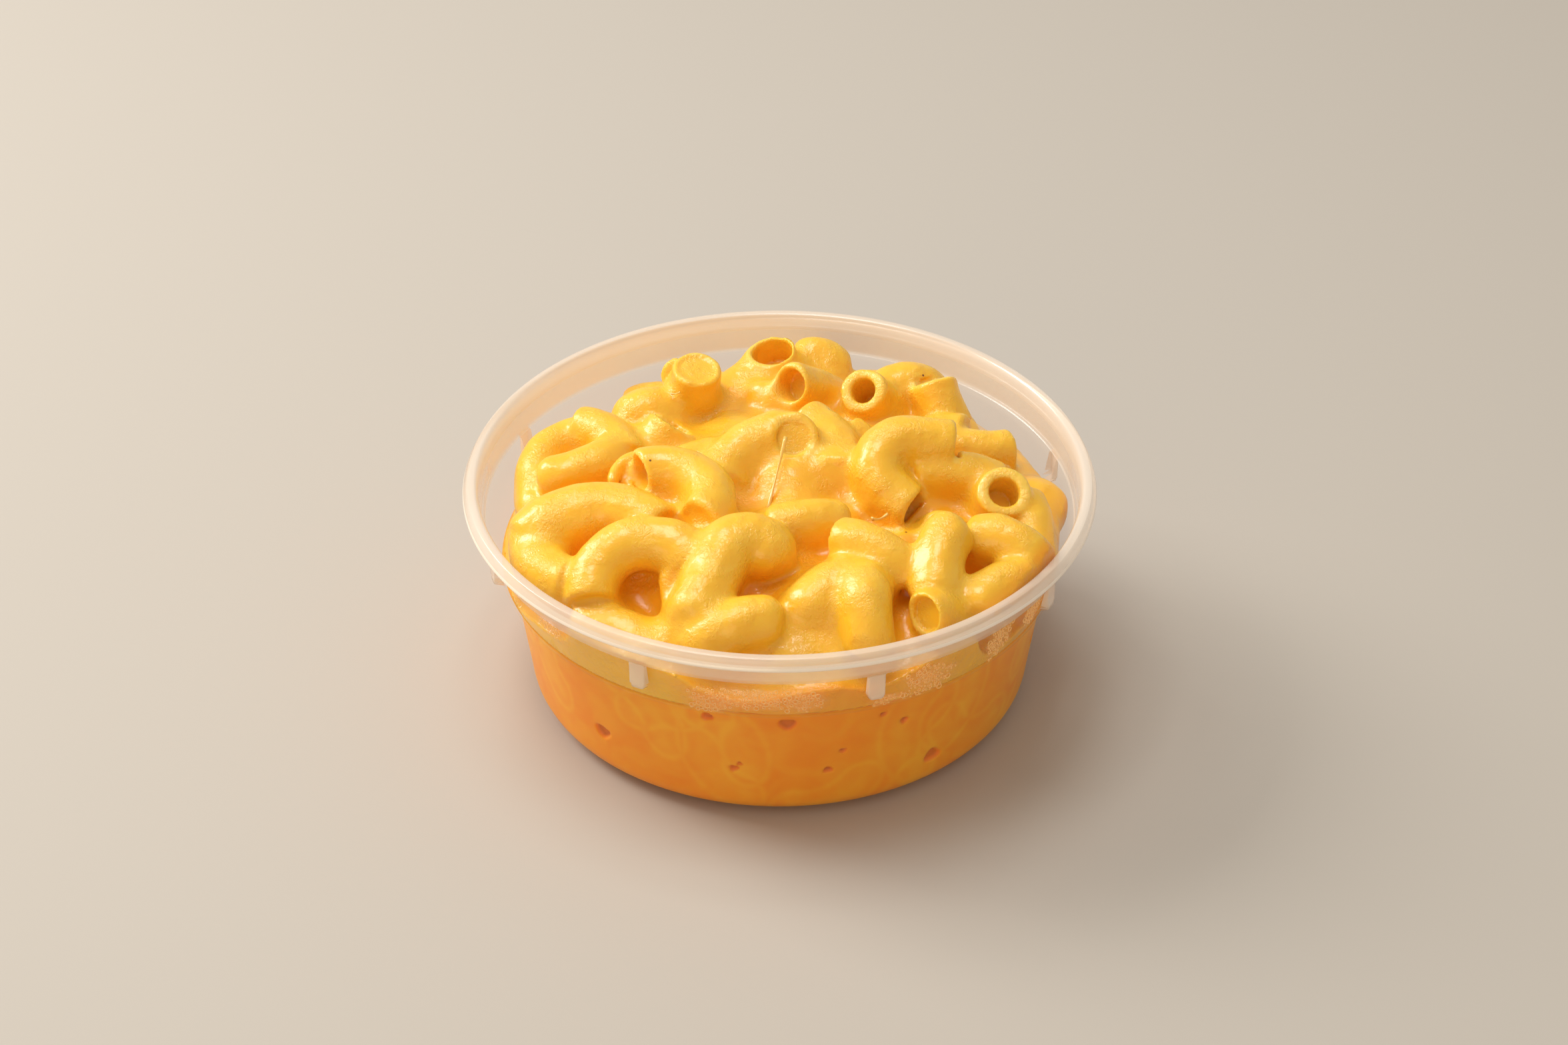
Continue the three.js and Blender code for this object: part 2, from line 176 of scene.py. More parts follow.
# (start, end, radius at each, reach of its fillets) of sauce piled up
DOLLOPS = [
    # the sheet between the back row and the middle
    ((-10, 33, 39.5), (-4, 37, 41.5), 4, 4.5, 4),
    ((-4, 33, 40), (5, 33, 40), 4, 4, 4),
    ((5, 41, 38.5), (10, 41, 38), 4, 4, 4),
    ((-3, 27, 43.3), (-1.2, 25.2, 43.3), 3.2, 3, 3),
    ((-5, 26, 36), (1, 26, 39.5), 4, 4, 4),
    ((-5, 19, 36), (8, 19, 36), 4.5, 4.5, 4),
    # the drape that hangs from the filled mouth in the middle
    ((2, -1, 42), (8, 0, 42), 5, 6, 4),
    ((2, -3, 42), (3, -12, 39.5), 5.5, 5, 4),
    # inside the loops at the left, and over an end in the middle
    ((-41, -15.5, 41.5), (-36, -13.5, 42), 5.5, 5.5, 4),
    ((-19, -9, 41.5), (-21, -6, 42), 4.5, 4, 4),
    ((-26, -3.5, 42.5), (-25, -5, 42), 3, 3, 4),
    ((-17, -17, 41), (-14, -18.5, 41), 3.5, 3.5, 4),
    # below the high macaroni at the right, and along the wall
    ((24.7, 2.5, 43), (27, 0.5, 42), 4, 4, 4),
    ((42.5, 18, 33), (48, 2, 34.3), 4.5, 4.5, 4),
    ((48, 2, 34.3), (46.5, -15, 34.3), 4.5, 4.5, 4),
    # the front: a curtain, a tail and the blanket over the macaroni
    ((-20, -32.8, 42.5), (-18.5, -41, 37.2), 1.3, 1.7, 2),
    ((-17.5, -40, 35.5), (-18, -43, 35), 2.4, 2.4, 4),
    ((-12, -43.5, 40), (-18.5, -43.5, 37.3), 3.8, 2, 4),
    ((9, -33, 41), (15, -33.5, 42), 4.5, 4.5, 4),
    ((4, -38.5, 38.3), (11, -39, 38.8), 4.5, 4.5, 4),
]

# (start, end, radius at each, sag) of thin strings of sauce
STRINGS = [
    ((1.1, -1.2, 52.4), (-2.2, -12, 43.6), 0.42, 0.4, 0.2),
    ((16.6, -18.5, 46.2), (19.4, -16.5, 45.8), 0.45, 0.35, 0.5),
    ((-20.5, 22, 47), (-18.8, 21.5, 47.6), 0.25, 0.2, 0.2),
]

# (three corners, sag) of films of sauce
FILMS = [
    ((35.6, 16.8, 44.8), (34.5, 12, 43), (40.8, 14.5, 42.2), 0.6),
    ((37, 2.5, 46.5), (41, -2.5, 43.6), (42.8, 1.5, 44), -0.6),
]

DEW_SPAN = (-62, 66)     # degrees from the front that the dew lies between
HAZE_STEPS = [0.3, 0.55, 0.8, 1.05]  # densities at which its haze gets thicker
# (degrees from the front, z, width in degrees, height) of the patches of dew on the band
DEW = [
    (-13.5, 29.6, 6.4, 4.2), (-6, 31.6, 16, 3.4), (4.5, 31, 6, 3.8), (21.5, 28.6, 5, 2),
    (30, 31.2, 8, 5.2), (59, 32.5, 5, 4), (-50, 33.2, 6, 2.6), (47.5, 32, 5, 5.5),
]

# (degrees from the front, z, radius) of the pits at the wall, painted darker as painted shade
VOIDS = [
    (-42, 11.2, 1.7), (-15, 24.2, 1.1), (1.6, 23.7, 1.5), (-9.8, 12, 0.9), (-8.6, 13.2, 0.5),
    (13.4, 16, 0.6), (10.4, 11.5, 0.8), (21.8, 23.2, 0.6), (26.8, 20.2, 0.8), (35.6, 8.2, 1.8),
    (75, 15, 1.2), (-80, 19, 1), (118, 12, 1.4), (160, 20, 1.1), (-125, 9, 1.3),
    (-165, 16, 0.8),
]

# (place, radius) of the deep pockets in the sauce
HOLLOWS = [
    ((-26, -28.5, 43), 4.8), ((-25, -34.5, 40), 4.6), ((-22.5, -36.5, 37.5), 3.4),
    ((-2.5, -28, 43.5), 4.4), ((6, -20.5, 44.5), 4.2), ((-5, -3, 44), 4), ((35, -24, 41), 4),
    ((18, -14, 43.5), 4.2), ((25.5, -12.5, 43), 4), ((-14.5, 21.5, 43), 4.6),
]


# ---- mesh helpers ----

def new_object(name, data):
    made = bpy.data.objects.new(name, data)
    bpy.context.scene.collection.objects.link(made)
    return made


def mesh_object(name, points, quads, normals=None):
    """A smooth object from points in millimetres and an array of quads."""
    mesh = bpy.data.meshes.new(name)
    mesh.from_pydata((points * MM).tolist(), [], quads.tolist())
    mesh.validate()
    mesh.shade_smooth()
    if normals is not None:
        mesh.normals_split_custom_set_from_vertices(normals.tolist())
    return new_object(name, mesh)


def grid_quads(rows, columns, closed_rows=False, closed_columns=False):
    """Quads between points numbered row by row. Closed rows or columns join up in a ring."""
    row, column = np.meshgrid(np.arange(rows if closed_rows else rows - 1),
                              np.arange(columns if closed_columns else columns - 1),
                              indexing="ij")
    here, after = row * columns, (row + 1) % rows * columns
    beside = (column + 1) % columns
    quads = np.stack([here + column, after + column, after + beside, here + beside], 2)
    return quads.reshape(-1, 4)


def turns(count):
    """The angles of a full turn in equal steps."""
    return np.arange(count) * math.tau / count


def store_tone_and_painted_shading(piece, values):
    """Stores how deep the colour is at each vertex, for the material to read: the food's own tone
    together with painted light and painted shade.
    """
    attribute = piece.data.attributes.new("richness", "FLOAT", "POINT")
    attribute.data.foreach_set("value", values.astype(np.float32))


# ---- signed distance field of the heap ----

def smooth_union(a, b, reach):
    """The lesser of two distances, with a fillet of the given reach where they meet."""
    share = np.clip(0.5 + 0.5 * (b - a) / reach, 0, 1)
    return b + (a - b) * share - reach * share * (1 - share)


def smooth_cut(a, b, reach):
    """Distance a with the inside of distance b taken out, its edge rounded."""
    return -smooth_union(-a, b, reach)


def elbow_frame(e):
    """The middle of an elbow's bend, its direction there, the side it bends to, and across."""
    heading, pitch, roll = e["angles"]
    forward = np.array([math.cos(pitch) * math.cos(heading), math.cos(pitch) * math.sin(heading),
                        math.sin(pitch)])
    side = np.array([-math.sin(heading), math.cos(heading), 0])
    inward = side * math.cos(roll) + np.cross(forward, side) * math.sin(roll)
    return e["at"], forward, inward, np.cross(forward, inward)


def centreline(e):
    """Points along an elbow's centreline, its legs included."""
    at, forward, inward, _ = elbow_frame(e)
    s = np.linspace(-e["half"] - e["legs"][0], e["half"] + e["legs"][1], 24)
    on_arc = np.clip(s, -e["half"], e["half"])
    angle = on_arc / e["bend"]
    across = e["bend"] * (1 - np.cos(angle)) + (s - on_arc) * np.sin(angle)
    along = e["bend"] * np.sin(angle) + (s - on_arc) * np.cos(angle)
    return at + across[:, None] * inward + along[:, None] * forward


def tube_coordinates(e, x, y, z):
    """Distance from an elbow's centreline, and how far past its start and its end."""
    at, *axes = elbow_frame(e)
    offset = x - at[0], y - at[1], z - at[2]
    u, v, w = (sum(o * part for o, part in zip(offset, axis)) for axis in axes)
    bend, half = e["bend"], e["half"]
    angle = np.arctan2(u, bend - v)
    widest = half / bend
    on_arc = np.abs(angle) <= widest
    out = np.where(on_arc, np.hypot(np.hypot(u, bend - v) - bend, w), np.inf)
    past = [np.where(on_arc, -angle * bend - half - e["legs"][0], np.inf),
            np.where(on_arc, angle * bend - half - e["legs"][1], np.inf)]
    nearest = np.where(on_arc, 0, np.inf)
    for end, sign in enumerate((-1, 1)):
        du = sign * u - bend * math.sin(widest)
        dv = v - bend * (1 - math.cos(widest))
        along = du * math.cos(widest) + dv * math.sin(widest)
        off = np.hypot(dv * math.cos(widest) - du * math.sin(widest), w)
        reach = np.hypot(np.maximum(along - e["legs"][end], 0), off) + np.maximum(-along, 0)
        take = ~on_arc & (reach < nearest)
        nearest = np.where(take, reach, nearest)
        out = np.where(take, off, out)
        other = 1 - end
        past[end] = np.where(take, along - e["legs"][end], past[end])
        past[other] = np.where(take, -along - 2 * half - e["legs"][other], past[other])
    return out, past[0], past[1]


def rod_distance(out, past, radius, rounding):
    """Distance to a rod of this radius whose end is at past = 0, its edge rounded."""
    a, b = out - radius + rounding, past + rounding
    outside = np.hypot(np.maximum(a, 0), np.maximum(b, 0))
    return outside + np.minimum(np.maximum(a, b), 0) - rounding


class Field:
    """A signed distance on a grid of points, in millimetres, negative inside."""

    def __init__(self, low, high, step):
        self.low, self.step = np.array(low, float), step
        count = np.ceil((np.array(high) - low) / step).astype(int) + 1
        self.axes = [self.low[i] + step * np.arange(count[i]) for i in range(3)]
        self.values = np.full(count, FAR, np.float32)

    def window(self, points, margin):
        """The slices of the grid round some points with a margin, and their coordinates."""
        ends = np.stack([points.min(0) - margin, points.max(0) + margin])
        first, last = np.maximum(((ends - self.low) / self.step).astype(int) + [[0], [2]], 0)
        at = tuple(slice(*pair) for pair in zip(first, last))
        x, y, z = (axis[part].astype(np.float32) for axis, part in zip(self.axes, at))
        return at, x[:, None, None], y[:, None], z

    def noise(self, wavelength):
        """Smooth random values from -1 to 1 on the whole grid."""
        spread = []
        for axis in self.axes:
            place = (axis - axis[0]) / wavelength
            cell = place.astype(int)
            t = place - cell
            t = t * t * (3 - 2 * t)
            matrix = np.zeros((len(axis), cell[-1] + 2), np.float32)
            matrix[np.arange(len(axis)), cell] = 1 - t
            matrix[np.arange(len(axis)), cell + 1] = t
            spread.append(matrix)
        lattice = rng.uniform(-1, 1, [m.shape[1] for m in spread]).astype(np.float32)
        return np.einsum("ai,bj,ck,ijk->abc", *spread, lattice, optimize=True)

    def blurred(self, width):
        """The field near its surface, averaged over a Gaussian of this width."""
        values = np.clip(self.values, -3 * width, 3 * width)
        reach = int(math.ceil(2.5 * width / self.step))
        weights = np.exp(-(np.arange(-reach, reach + 1) * self.step / width) ** 2 / 2)
        weights = (weights / weights.sum()).astype(np.float32)
        for _ in range(3):      # along the first axis, which then becomes the last
            padded = np.pad(values, [(reach, reach), (0, 0), (0, 0)], "edge")
            values = sum(weight * padded[n:n + len(values)] for n, weight in enumerate(weights))
            values = np.moveaxis(values, 0, 2)
        return values

    def sample(self, points):
        """Values at points between the grid's, and their gradient."""
        place = (points - self.low) / self.step
        cell = np.clip(np.floor(place).astype(int), 0, np.array(self.values.shape) - 2)
        t = place - cell
        value, slope = np.zeros(len(points)), np.zeros((len(points), 3))
        for corner in np.ndindex(2, 2, 2):
            at_corner = self.values[tuple((cell + corner).T)]
            weights = np.where(corner, t, 1 - t)
            value += at_corner * weights.prod(1)
            for n in range(3):
                slope[:, n] += (2 * corner[n] - 1) * at_corner * np.delete(weights, n, 1).prod(1)
        return value, slope / self.step

    def surface(self):
        """The zero surface as points and quads, by surface nets."""
        inside = self.values < 0
        corners = list(np.ndindex(2, 2, 2))
        size = np.array(inside.shape) - 1
        count = np.zeros(size, np.int8)
        for i, j, k in corners:
            count += inside[i:i + size[0], j:j + size[1], k:k + size[2]]
        cells = np.argwhere((count > 0) & (count < 8))
        index = np.full(size, -1, np.int32)
        index[tuple(cells.T)] = np.arange(len(cells))
        value = {corner: self.values[tuple((cells + corner).T)] for corner in corners}
        total, crossings = np.zeros((len(cells), 3)), np.zeros(len(cells))
        unit = np.eye(3, dtype=int)
        for a in corners:
            for axis in np.flatnonzero(np.array(a) == 0):
                one, two = value[a], value[tuple((a + unit[axis]).tolist())]
                crosses = (one < 0) != (two < 0)
                spot = np.tile(np.array(a, float), (crosses.sum(), 1))
                spot[:, axis] = (one / np.where(crosses, one - two, 1))[crosses]
                total[crosses] += spot
                crossings[crosses] += 1
        points = self.low + self.step * (cells + total / crossings[:, None])
        quads = []
        for axis in range(3):
            others = [(axis + 1) % 3, (axis + 2) % 3]
            edges = np.argwhere(np.diff(inside, axis=axis))
            beside = edges[:, others]
            edges = edges[((beside > 0) & (beside < size[others])).all(1)]
            outward = inside[tuple(edges.T)]
            j, k = unit[others]
            quad = np.stack([index[tuple((edges + step).T)] for step in (-j - k, -k, 0, -j)], 1)
            quad[~outward] = quad[~outward][:, ::-1]
            quads.append(quad)
        return points, np.concatenate(quads)

    def settle(self, points, quads, rounds=3):
        """Evens out points on the surface and gives their normals too."""
        least_steep, furthest = 0.25, 0.3
        pairs = np.concatenate([quads[:, [i, (i + 1) % 4]] for i in range(4)])
        degree = np.bincount(pairs[:, 0], minlength=len(points)).astype(float)
        for _ in range(rounds):
            total = np.stack([np.bincount(pairs[:, 0], points[pairs[:, 1], n], len(points))
                              for n in range(3)], 1)
            points = 0.5 * points + 0.5 * total / degree[:, None]
            value, slope = self.sample(points)
            steep = np.maximum((slope ** 2).sum(1), least_steep)
            points = points - np.clip(value / steep, -furthest, furthest)[:, None] * slope
        _, slope = self.sample(points)
        return points, slope / np.maximum(np.linalg.norm(slope, axis=1), 1e-6)[:, None]


def inner_radius(z, clearance=0):
    """The container's inside radius at a height, less a clearance."""
    radii, heights = zip((FOOT_OUTER_RADIUS + BASE_CORNER_RADIUS, BASE_CORNER_RADIUS), BODY_TOP,
                         SHOULDER, BAND_TOP, NECK_FOOT, NECK_TOP)
    return np.interp(z, heights, radii) - WALL - clearance


def around_elbow(field, e, margin):
    """The slices of the grid round an elbow, and the tube coordinates there."""
    at, x, y, z = field.window(centreline(e), e["radius"] + margin)
    return at, *tube_coordinates(e, x, y, z)


def add_elbow(field, e):
    """Fuses a solid elbow into the field, with a fillet of sauce."""
    at, out, past_start, past_end = around_elbow(field, e, 3 * FILLET)
    rod = rod_distance(out, np.maximum(past_start, past_end), e["radius"], e["edge"])
    field.values[at] = smooth_union(field.values[at], rod, FILLET)


def add_dollop(field, start, end, first, last, reach):
    """Fuses sauce piled up between two points into the field, with its radius at each."""
    start, end = np.array([start, end], float)
    at, x, y, z = field.window(np.stack([start, end]), max(first, last) + 2 * reach)
    axis, offset = end - start, (x - start[0], y - start[1], z - start[2])
    t = np.clip(sum(o * a for o, a in zip(offset, axis)) / (axis @ axis), 0, 1)
    away = np.sqrt(sum((o - a * t) ** 2 for o, a in zip(offset, axis)))
    field.values[at] = smooth_union(field.values[at], away - first - (last - first) * t, reach)


def carve_hollow(field, centre, radius):
    """Sinks a round pocket into the field."""
    at, x, y, z = field.window(np.array([centre]), radius + 4)
    ball = np.sqrt((x - centre[0]) ** 2 + (y - centre[1]) ** 2 + (z - centre[2]) ** 2) - radius
    field.values[at] = smooth_cut(field.values[at], ball, 2)


def past_open_ends(e, past_start, past_end):
    """How far past each of an elbow's open ends."""
    return [past for end, past in (("start", past_start), ("end", past_end))
            if e["opens"] in (end, "both")]


def bore_elbow(field, e):
    """Opens the mouths of an elbow."""
    at, out, past_start, past_end = around_elbow(field, e, 2)
    for past in past_open_ends(e, past_start, past_end):
        hollow = np.maximum(out - e["bore"], np.maximum(-past - e["depth"], past - 1))
        field.values[at] = smooth_cut(field.values[at], hollow, 0.9)


def degrees_from_front(x, y):
    return np.degrees(np.arctan2(x, -y))


def sauce_level(x, y):
    """Height of the sauce between the macaroni, with its own edge at the wall in front."""
    radius = np.hypot(x, y)
    back, front = (np.array(tops)[::-1].T for tops in (SAUCE_TOP, SAUCE_TOP_FRONT))
    edge = np.interp(degrees_from_front(x, y), *np.array(FOOD_EDGE).T)
    at_wall = np.clip((radius - 46) / 5, 0, 1)      # over the last 5 mm
    front_level = np.interp(radius, *front) * (1 - at_wall) + edge * at_wall
    in_front = np.clip((-y / np.maximum(radius, 1) - 0.25) / 0.4, 0, 1)
    return np.interp(radius, *back) * (1 - in_front) + front_level * in_front


def heap_field():
    """The heap as a field, and how far on its grid the sauce covers the macaroni."""
    field = Field((-54, -54, 20), (54, 54, FOOD_TOP + 2), VOXEL)
    x, y, z = np.meshgrid(*field.axes, indexing="ij", sparse=True)
    radius = np.hypot(x, y)
    level = sauce_level(x, y) + 0.6 * field.noise(7)
    field.values = (STEEPNESS * (z - level)).astype(np.float32)
    for centre, size in HOLLOWS:
        carve_hollow(field, centre, size)
    for dollop in DOLLOPS:
        add_dollop(field, *dollop)
    sauce = field.values
    field.values = np.full(sauce.shape, FAR, np.float32)
    for e in ELBOWS:
        add_elbow(field, e)
    sauce_cover = np.clip((field.values - sauce) / FULL_COVER, 0, 1)
    field.values = smooth_union(field.values, sauce, SAUCE_REACH)
    # lumps of three sizes, and sauce that fills the creases
    field.values += 0.35 * field.noise(8) + 0.18 * field.noise(3.6)
    field.values += 0.06 * field.noise(1.8)
    field.values = smooth_union(field.values, field.blurred(CREASE) + 0.12, 0.5)
    for e in ELBOWS:
        if e["opens"]:
            bore_elbow(field, e)
    wall = radius - inner_radius(z, np.where(z > SAUCE_LINE_Z, -INTO_WALL, 1.2))
    field.values = np.maximum(field.values, np.maximum(wall, HEAP_BASE_Z - z)).astype(np.float32)
    return field, sauce_cover


# ---- materials ----

# (degrees from the front, depth of colour) of the food behind the band of the wall: painted light
# and shade, paler at the front left and deeper elsewhere
BAND_PAINTED_SHADING = [(-180, 1.5), (-75, 1), (-60, 0.2), (-22, 0.1), (-12, 1.4), (18, 1.3), (30, 0.6),
              (44, 0.6), (60, 1.4), (180, 1.5)]


class Shader:
    """A node material being built. A share mixes or maps from 0 to 1."""

    def __init__(self, name):
        self.material = bpy.data.materials.new(name)
        self.material.use_nodes = True
        self.tree = self.material.node_tree
        self.surface = self.tree.nodes["Principled BSDF"]

    def node(self, kind, values=(), **settings):
        """A new node with its settings, and its inputs given as (socket, value or output)."""
        made = self.tree.nodes.new("ShaderNode" + kind)
        for name, value in settings.items():
            setattr(made, name, value)
        for socket, value in dict(values).items():
            self.feed(made.inputs[socket], value)
        return made

    def feed(self, socket, value):
        if isinstance(value, bpy.types.NodeSocket):
            self.tree.links.new(value, socket)
        else:
            socket.default_value = value

    def set(self, **values):
        """Sets the surface's sockets; an underscore in a name stands for a space."""
        for name, value in values.items():
            self.feed(self.surface.inputs[name.replace("_", " ")], value)

    def place(self):
        """Places on the piece, so that a pattern stays fixed to it."""
        return self.node("TexCoord").outputs["Object"]

    def noise(self, wavelength, detail=2, distortion=0):
        """A noise of this wavelength in millimetres."""
        values = {"Vector": self.place(), "Scale": 1 / (wavelength * MM), "Detail": detail,
                  "Distortion": distortion}
        return self.node("TexNoise", values).outputs["Fac"]

    def spots(self, spacing):
        """Distance to the nearest of some scattered points, as a share of their spacing."""
        values = {"Vector": self.place(), "Scale": 1 / (spacing * MM)}
        return self.node("TexVoronoi", values).outputs["Distance"]

    def richness(self, wavelength, amount, distortion=0):
        """The piece's stored depth of colour, its own tone with painted light and shade, mottled
        by this amount up and down.
        """
        stored = self.node("Attribute", attribute_name="richness").outputs["Fac"]
        mottle = self.noise(wavelength, 3, distortion)
        return self.math("ADD", stored, self.ramp(mottle, 0.35, 0.65, -amount, amount))

    def ramp(self, value, low, high, to_low=0, to_high=1):
        """From to_low to to_high as the value goes from low to high."""
        values = {"Value": value, "From Min": low, "From Max": high, "To Min": to_low,
                  "To Max": to_high}
        return self.node("MapRange", values).outputs["Result"]

    def mix(self, share, one, two):
        """A colour between two."""
        return self.node("Mix", {0: share, 6: one, 7: two}, data_type="RGBA").outputs[2]

    def math(self, operation, one, two):
        return self.node("Math", {0: one, 1: two}, operation=operation).outputs[0]

    def bump(self, height, depth, normal=None):
        """A bump of this depth in millimetres, on top of another."""
        values = {"Height": height, "Distance": depth * MM}
        if normal is not None:
            values["Normal"] = normal
        return self.node("Bump", values).outputs["Normal"]


def cheese_material():
    """Cheese sauce on macaroni: deeper in colour in the creases as painted shade and where sauce
    covers the macaroni, paler at bare cut ends and, as painted light, in the bores, with painted
    light and shade at the wall, a wet and finely wrinkled skin and a few specks of pepper."""
    shader = Shader("cheese_sauce_on_macaroni")
    tone_and_shading = shader.richness(6, 0.12)
    # pale: bare cut ends and painted light in the bores; orange: sauce, and painted shade in the
    # creases
    pale, light = (0.95, 0.64, 0.12, 1), (0.93, 0.525, 0.03, 1)
    orange, deep, pepper = (0.92, 0.425, 0.012, 1), (0.92, 0.27, 0.005, 1), (0.2, 0.06, 0.01, 1)
    colour = shader.mix(shader.ramp(tone_and_shading, -0.7, 0), pale, light)
    colour = shader.mix(shader.ramp(tone_and_shading, 0, 1), colour, orange)
    # the deepest colour is painted shade, on the food at the wall behind the band
    colour = shader.mix(shader.ramp(tone_and_shading, 1.1, 2), colour, deep)
    colour = shader.mix(shader.ramp(shader.spots(8), 0.022, 0.034), pepper, colour)
    patches = shader.ramp(shader.noise(4.5), 0.42, 0.6)
    wrinkles = shader.math("MULTIPLY", shader.noise(0.8, 3, 1.2), patches)
    normal = shader.bump(shader.noise(2.2), 0.05)
    normal = shader.bump(wrinkles, 0.25, normal)
    normal = shader.bump(shader.noise(0.4), 0.04, normal)
    shader.set(Base_Color=colour, Normal=normal, Coat_Normal=normal, IOR=1.45,
               Roughness=shader.ramp(patches, 0, 1, 0.32, 0.45),
               Subsurface_Weight=0.5, Subsurface_Radius=(1, 0.6, 0.15),
               Subsurface_Scale=2 * MM, Coat_Weight=0.45, Coat_Roughness=0.12)
    return shader.material


def sauce_body_material():
    """The sauce as it shows through the smooth clear wall, darkest in the pits as painted shade.
    """
    shader = Shader("cheese_sauce_behind_wall")
    tone_and_shading = shader.richness(7, 0.15, 0.6)
    colour = shader.mix(tone_and_shading, (0.98, 0.43, 0.022, 1), (0.92, 0.24, 0.004, 1))
    # the darkest colour is painted shade in the pits
    colour = shader.mix(shader.ramp(tone_and_shading, 1.2, 2), colour, (0.7, 0.17, 0.004, 1))
    shader.set(Base_Color=colour, Roughness=0.45, Specular_IOR_Level=0.15,
               Subsurface_Weight=0.4, Subsurface_Radius=(1, 0.5, 0.12),
               Subsurface_Scale=2 * MM, Coat_Weight=0.2, Coat_Roughness=0.06, Coat_IOR=1.49)
    return shader.material


# pairs of tints of the plastic
MILKY = (0.98, 0.87, 0.74, 1), (0.97, 0.82, 0.66, 1)
# painted light: the band's plastic tinted with the glow of the sauce behind it
PAINTED_SAUCE_GLOW = (1, 0.62, 0.28, 1), (1, 0.58, 0.24, 1)       # from the sauce behind it


def plastic_material(name, opacity, specular, tints=MILKY):
    """Translucent plastic, clouded in two tints."""
    shader = Shader(name)
    shader.set(Base_Color=shader.mix(shader.noise(9), *tints), Alpha=opacity, IOR=1.49,
               Normal=shader.bump(shader.noise(1.6), 0.02), Roughness=0.3,
               Specular_IOR_Level=specular, Coat_Weight=specular, Coat_Roughness=0.12)
    return shader.material


def container_materials():
    """Those of the body, the band, the neck, the rim, the lugs, and a painted highlight along the
    rim's edge.
    """
    return [plastic_material("clear_wall", 0.02, 0.3),
            plastic_material("hazy_band", 0.06, 0.2, PAINTED_SAUCE_GLOW),
            plastic_material("neck", 0.36, 1),
            plastic_material("milky_rim", 0.5, 1),
            plastic_material("milky_lugs", 0.62, 1),
            plastic_material("rim_edge_painted_highlight", 0.9, 1)]


def sauce_thread_material(name, opacity):
    """Strings and films of sauce: lighter than the heap, as light passes through them."""
    shader = Shader(name)
    shader.set(Base_Color=(0.98, 0.6, 0.12, 1), Roughness=0.15, Coat_Weight=1, Alpha=opacity)
    return shader.material


def dew_painted_glow_material(name, opacity):
    """Water inside the band: a haze of dew, or drops, tinted orange and faintly glowing as
    painted light from the sauce behind it.
    """
    shader = Shader(name)
    # the orange tint and the glow are painted light
    shader.set(Base_Color=(1, 0.64, 0.22, 1), Roughness=0.3, Alpha=opacity,
               Coat_Weight=0.3, Coat_Roughness=0.05,
               Emission_Color=(1, 0.6, 0.26, 1), Emission_Strength=0.14)
    return shader.material


# ---- the pieces ----

def finish_piece(piece, materials, node):
    for material in materials:
        piece.data.materials.append(material)
    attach(piece, "root")
    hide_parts(node)


def finish_food(piece, material):
    finish_piece(piece, [material], "macaroni_in_cheese_sauce")


def finish_plastic(piece, materials):
    finish_piece(piece, materials, "deli_container")


def make_heap(material):
    """The macaroni and the sauce between them, above the sauce's line at the wall."""
    field, sauce_cover = heap_field()
    points, quads = field.surface()
    points, normals = field.settle(points, quads)
    points, quads, normals = flat_base(points, quads, normals)
    piece = mesh_object("macaroni_heap", points, quads, normals)
    cell = np.round((points - field.low) / field.step).astype(int)
    # painted shade deep between the macaroni, with the sauce's own deeper colour where it covers
    # them
    tone_and_shading = np.minimum(painted_crease_shade(points) + 0.4 * sauce_cover[tuple(cell.T)], 1)
    for e in ELBOWS:
        if e["opens"]:
            # pale at the bare cut edges, and painted light in the bores
            tone_and_shading = np.minimum(tone_and_shading, 1 - 1.4 * cut_edge_and_painted_bore_light(e, points))
    x, y, z = points.T
    # near the wall, the painted light and shade of the food behind the band takes over
    at_wall = np.clip((np.hypot(x, y) - inner_radius(z) + 2) / 1.5, 0, 1)
    band_painted_shading = np.interp(degrees_from_front(x, y), *np.array(BAND_PAINTED_SHADING).T)
    store_tone_and_painted_shading(piece, tone_and_shading + (band_painted_shading - tone_and_shading) * at_wall)
    finish_food(piece, material)


def flat_base(points, quads, normals):
    """The mesh with a fan of large faces in place of the many on its flat underside."""
    under = (points[:, 2] < HEAP_BASE_Z + 0.1)[quads].all(1)
    edges = np.concatenate([quads[under][:, [i, (i + 1) % 4]] for i in range(4)])
    _, first, count = np.unique(np.sort(edges, 1), axis=0, return_index=True,
                                return_counts=True)
    following = dict(edges[first[count == 1]])      # each point of the rim and the next
    loop = [next(iter(following))]
    while following[loop[-1]] != loop[0]:
        loop.append(following[loop[-1]])
    middle = np.full(len(loop) // 2, len(points))
    points = np.concatenate([points, [[0, 0, HEAP_BASE_Z]]])
    normals = np.concatenate([normals, [[0, 0, -1]]])
    fan = np.stack([loop[0::2], loop[1::2], np.roll(loop, -2)[0::2], middle], 1)
    quads = np.concatenate([quads[~under], fan])
    used, index = np.unique(quads, return_inverse=True)
    return points[used], index.reshape(-1, 4), normals[used]


def cut_edge_and_painted_bore_light(e, points):
    """1 at the bare cut edges of an elbow's open ends, less in its bores, which are painted paler
    as painted light, and 0 away from both.
    """
    line = centreline(e)
    reach = e["radius"] + 1
    near = np.all((points > line.min(0) - reach) & (points < line.max(0) + reach), axis=1)
    share = np.zeros(len(points))
    out, past_start, past_end = tube_coordinates(e, *points[near].T)
    for past in past_open_ends(e, past_start, past_end):
        on_end = np.clip((0.8 + past) / 0.6, 0, 1) * (past < 1) * (out < e["radius"] + 0.3)
        bore_painted_light = (past < 1) & (past > -e["depth"] - 0.8) & (out < e["bore"] + 0.35)
        share[near] = np.maximum(share[near], np.maximum(on_end, 0.75 * bore_painted_light))
    return share


